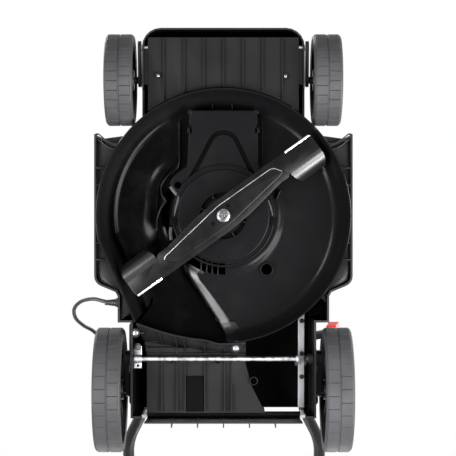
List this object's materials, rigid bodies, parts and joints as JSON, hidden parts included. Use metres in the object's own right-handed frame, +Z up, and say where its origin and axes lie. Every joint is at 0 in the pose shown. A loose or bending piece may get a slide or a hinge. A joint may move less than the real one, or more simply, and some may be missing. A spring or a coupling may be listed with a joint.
{
  "type": "electric lawn mower",
  "caption": "Electric rotary lawn mower with a scroll deck, rear discharge chute, linked height adjustment and folding handle.",
  "frame": {"origin": "centre of the bounding box at ground level, measured without the lead", "axes": "+Z up, -Y towards the front of the mower, +Y towards the person pushing it, +X to its left"},
  "size_m": [0.5012, 1.3348, 1.0894],
  "materials": {
    "black_plastic": "satin moulded black",
    "grey_plastic": "satin dark grey",
    "red_plastic": "glossy red",
    "wheel_plastic": "matt grey, dusty",
    "zinc_plate": "bright zinc plated",
    "galvanised_strip": "dull galvanised",
    "steel": "ground steel",
    "black_paint": "black paint on steel",
    "laminations": "stacked laminations",
    "cast_aluminium": "cast",
    "pale_plastic": "off-white",
    "foam": "foam sleeve",
    "cord_jacket": "black cable jacket"
  },
  "bodies": {
    "chassis": {"body_shell": "black_plastic", "deck": "black_plastic", "motor_hood": "red_plastic", "carry_handle": "black_plastic", "front_panel": "grey_plastic", "chute_floor": "grey_plastic", "discharge_chute": "black_plastic", "motor_base": "black_plastic", "motor_can": "cast_aluminium", "stator": "laminations", "upper_bearing": "steel", "lower_bearing": "steel", "run_capacitor": "pale_plastic", "duct_cover": "black_plastic", "axle_clamp": "zinc_plate", "axle_bush": "black_plastic", "chute_screw_left": "zinc_plate", "chute_screw_right": "zinc_plate", "cable_gland": "black_plastic", "lead_loop": "cord_jacket", "handle_bracket_left": "black_plastic", "handle_bracket_right": "black_plastic", "flap_pin": "zinc_plate"},
    "cutter": {"blade": "black_paint", "blade_bolt": "zinc_plate", "blade_hub": "cast_aluminium", "motor_shaft": "steel", "rotor": "laminations", "cooling_fan": "pale_plastic"},
    "rear_axle": {"rear_axle_rod": "zinc_plate", "rear_crank_left": "black_plastic", "rear_crank_right": "black_plastic", "height_lever": "black_paint", "lever_grip": "red_plastic"},
    "front_axle": {"front_axle_rod": "zinc_plate", "front_crank_left": "black_plastic", "front_crank_right": "black_plastic"},
    "link": {"height_link": "galvanised_strip"},
    "front_left": {"front_wheel_left": "wheel_plastic", "front_hub_cap_left": "red_plastic"},
    "front_right": {"front_wheel_right": "wheel_plastic", "front_hub_cap_right": "red_plastic"},
    "rear_left": {"rear_wheel_left": "wheel_plastic", "rear_hub_cap_left": "red_plastic"},
    "rear_right": {"rear_wheel_right": "wheel_plastic", "rear_hub_cap_right": "red_plastic"},
    "flap": {"rear_flap": "black_plastic"},
    "lower_frame": {"lower_handle": "black_paint", "lead_lower": "cord_jacket"},
    "upper_frame": {"upper_handle": "black_paint", "foam_grip": "foam", "switch_box": "black_plastic", "lead_upper": "cord_jacket", "cord_hook": "black_plastic"},
    "bail": {"bail_lever": "red_plastic"},
    "button": {"safety_button": "red_plastic"},
    "knob_ll": {"lower_knob_left": "black_plastic"},
    "knob_lr": {"lower_knob_right": "black_plastic"},
    "knob_ul": {"upper_knob_left": "black_plastic"},
    "knob_ur": {"upper_knob_right": "black_plastic"}
  },
  "joints": [
    {"name": "blade_spin", "type": "hinge", "parent": "chassis", "child": "cutter", "pos_m": [0, -0.34938, 0.06], "axis": [0, 0, 1], "continuous": true},
    {"name": "height_adjust", "type": "hinge", "parent": "chassis", "child": "rear_axle", "pos_m": [0, -0.10338, 0.098], "axis": [1, 0, 0], "range_deg": [-21, 22.5]},
    {"name": "front_height", "type": "hinge", "parent": "chassis", "child": "front_axle", "pos_m": [0, -0.63438, 0.069], "axis": [1, 0, 0], "range_deg": [-21, 22.5]},
    {"name": "link_pivot", "type": "hinge", "parent": "rear_axle", "child": "link", "pos_m": [0.131, -0.09298, 0.14691], "axis": [1, 0, 0], "range_deg": [-22.5, 21]},
    {"name": "front_wheel_left_spin", "type": "hinge", "parent": "front_axle", "child": "front_left", "pos_m": [0.1752, -0.58038, 0.078], "axis": [1, 0, 0], "continuous": true},
    {"name": "front_wheel_right_spin", "type": "hinge", "parent": "front_axle", "child": "front_right", "pos_m": [-0.1752, -0.58038, 0.078], "axis": [1, 0, 0], "continuous": true},
    {"name": "rear_wheel_left_spin", "type": "hinge", "parent": "rear_axle", "child": "rear_left", "pos_m": [0.195, -0.04938, 0.107], "axis": [1, 0, 0], "continuous": true},
    {"name": "rear_wheel_right_spin", "type": "hinge", "parent": "rear_axle", "child": "rear_right", "pos_m": [-0.195, -0.04938, 0.107], "axis": [1, 0, 0], "continuous": true},
    {"name": "flap_hinge", "type": "hinge", "parent": "chassis", "child": "flap", "pos_m": [0, 0.00462, 0.196], "axis": [1, 0, 0], "range_deg": [0, 75], "stiffness_Nm_per_rad": 0.12, "springref_deg": -28.65},
    {"name": "lower_handle_fold", "type": "hinge", "parent": "chassis", "child": "lower_frame", "pos_m": [0, -0.04438, 0.258], "axis": [1, 0, 0], "range_deg": [0, 118]},
    {"name": "upper_handle_fold", "type": "hinge", "parent": "lower_frame", "child": "upper_frame", "pos_m": [0, 0.23392, 0.57256], "axis": [1, 0, 0], "range_deg": [-150, 0]},
    {"name": "bail_pivot", "type": "hinge", "parent": "upper_frame", "child": "bail", "pos_m": [0, 0.55198, 0.93206], "axis": [1, 0, 0], "range_deg": [-21, 0], "stiffness_Nm_per_rad": 0.6, "springref_deg": 20.05},
    {"name": "safety_button_press", "type": "slide", "parent": "upper_frame", "child": "button", "axis": [0, 0.749, -0.6626], "range_m": [0, 0.005], "stiffness_N_per_m": 250, "springref_m": -0.003},
    {"name": "lower_knob_left_turn", "type": "hinge", "parent": "chassis", "child": "knob_ll", "pos_m": [0.168, -0.04438, 0.258], "axis": [1, 0, 0], "continuous": true},
    {"name": "lower_knob_right_turn", "type": "hinge", "parent": "chassis", "child": "knob_lr", "pos_m": [-0.168, -0.04438, 0.258], "axis": [1, 0, 0], "continuous": true},
    {"name": "upper_knob_left_turn", "type": "hinge", "parent": "upper_frame", "child": "knob_ul", "pos_m": [0.227, 0.23392, 0.57256], "axis": [1, 0, 0], "continuous": true},
    {"name": "upper_knob_right_turn", "type": "hinge", "parent": "upper_frame", "child": "knob_ur", "pos_m": [-0.227, 0.23392, 0.57256], "axis": [1, 0, 0], "continuous": true}
  ],
  "couplings": [
    {"joint": "front_height", "follows": "height_adjust", "ratio": 1},
    {"joint": "link_pivot", "follows": "height_adjust", "ratio": -1}
  ]
}
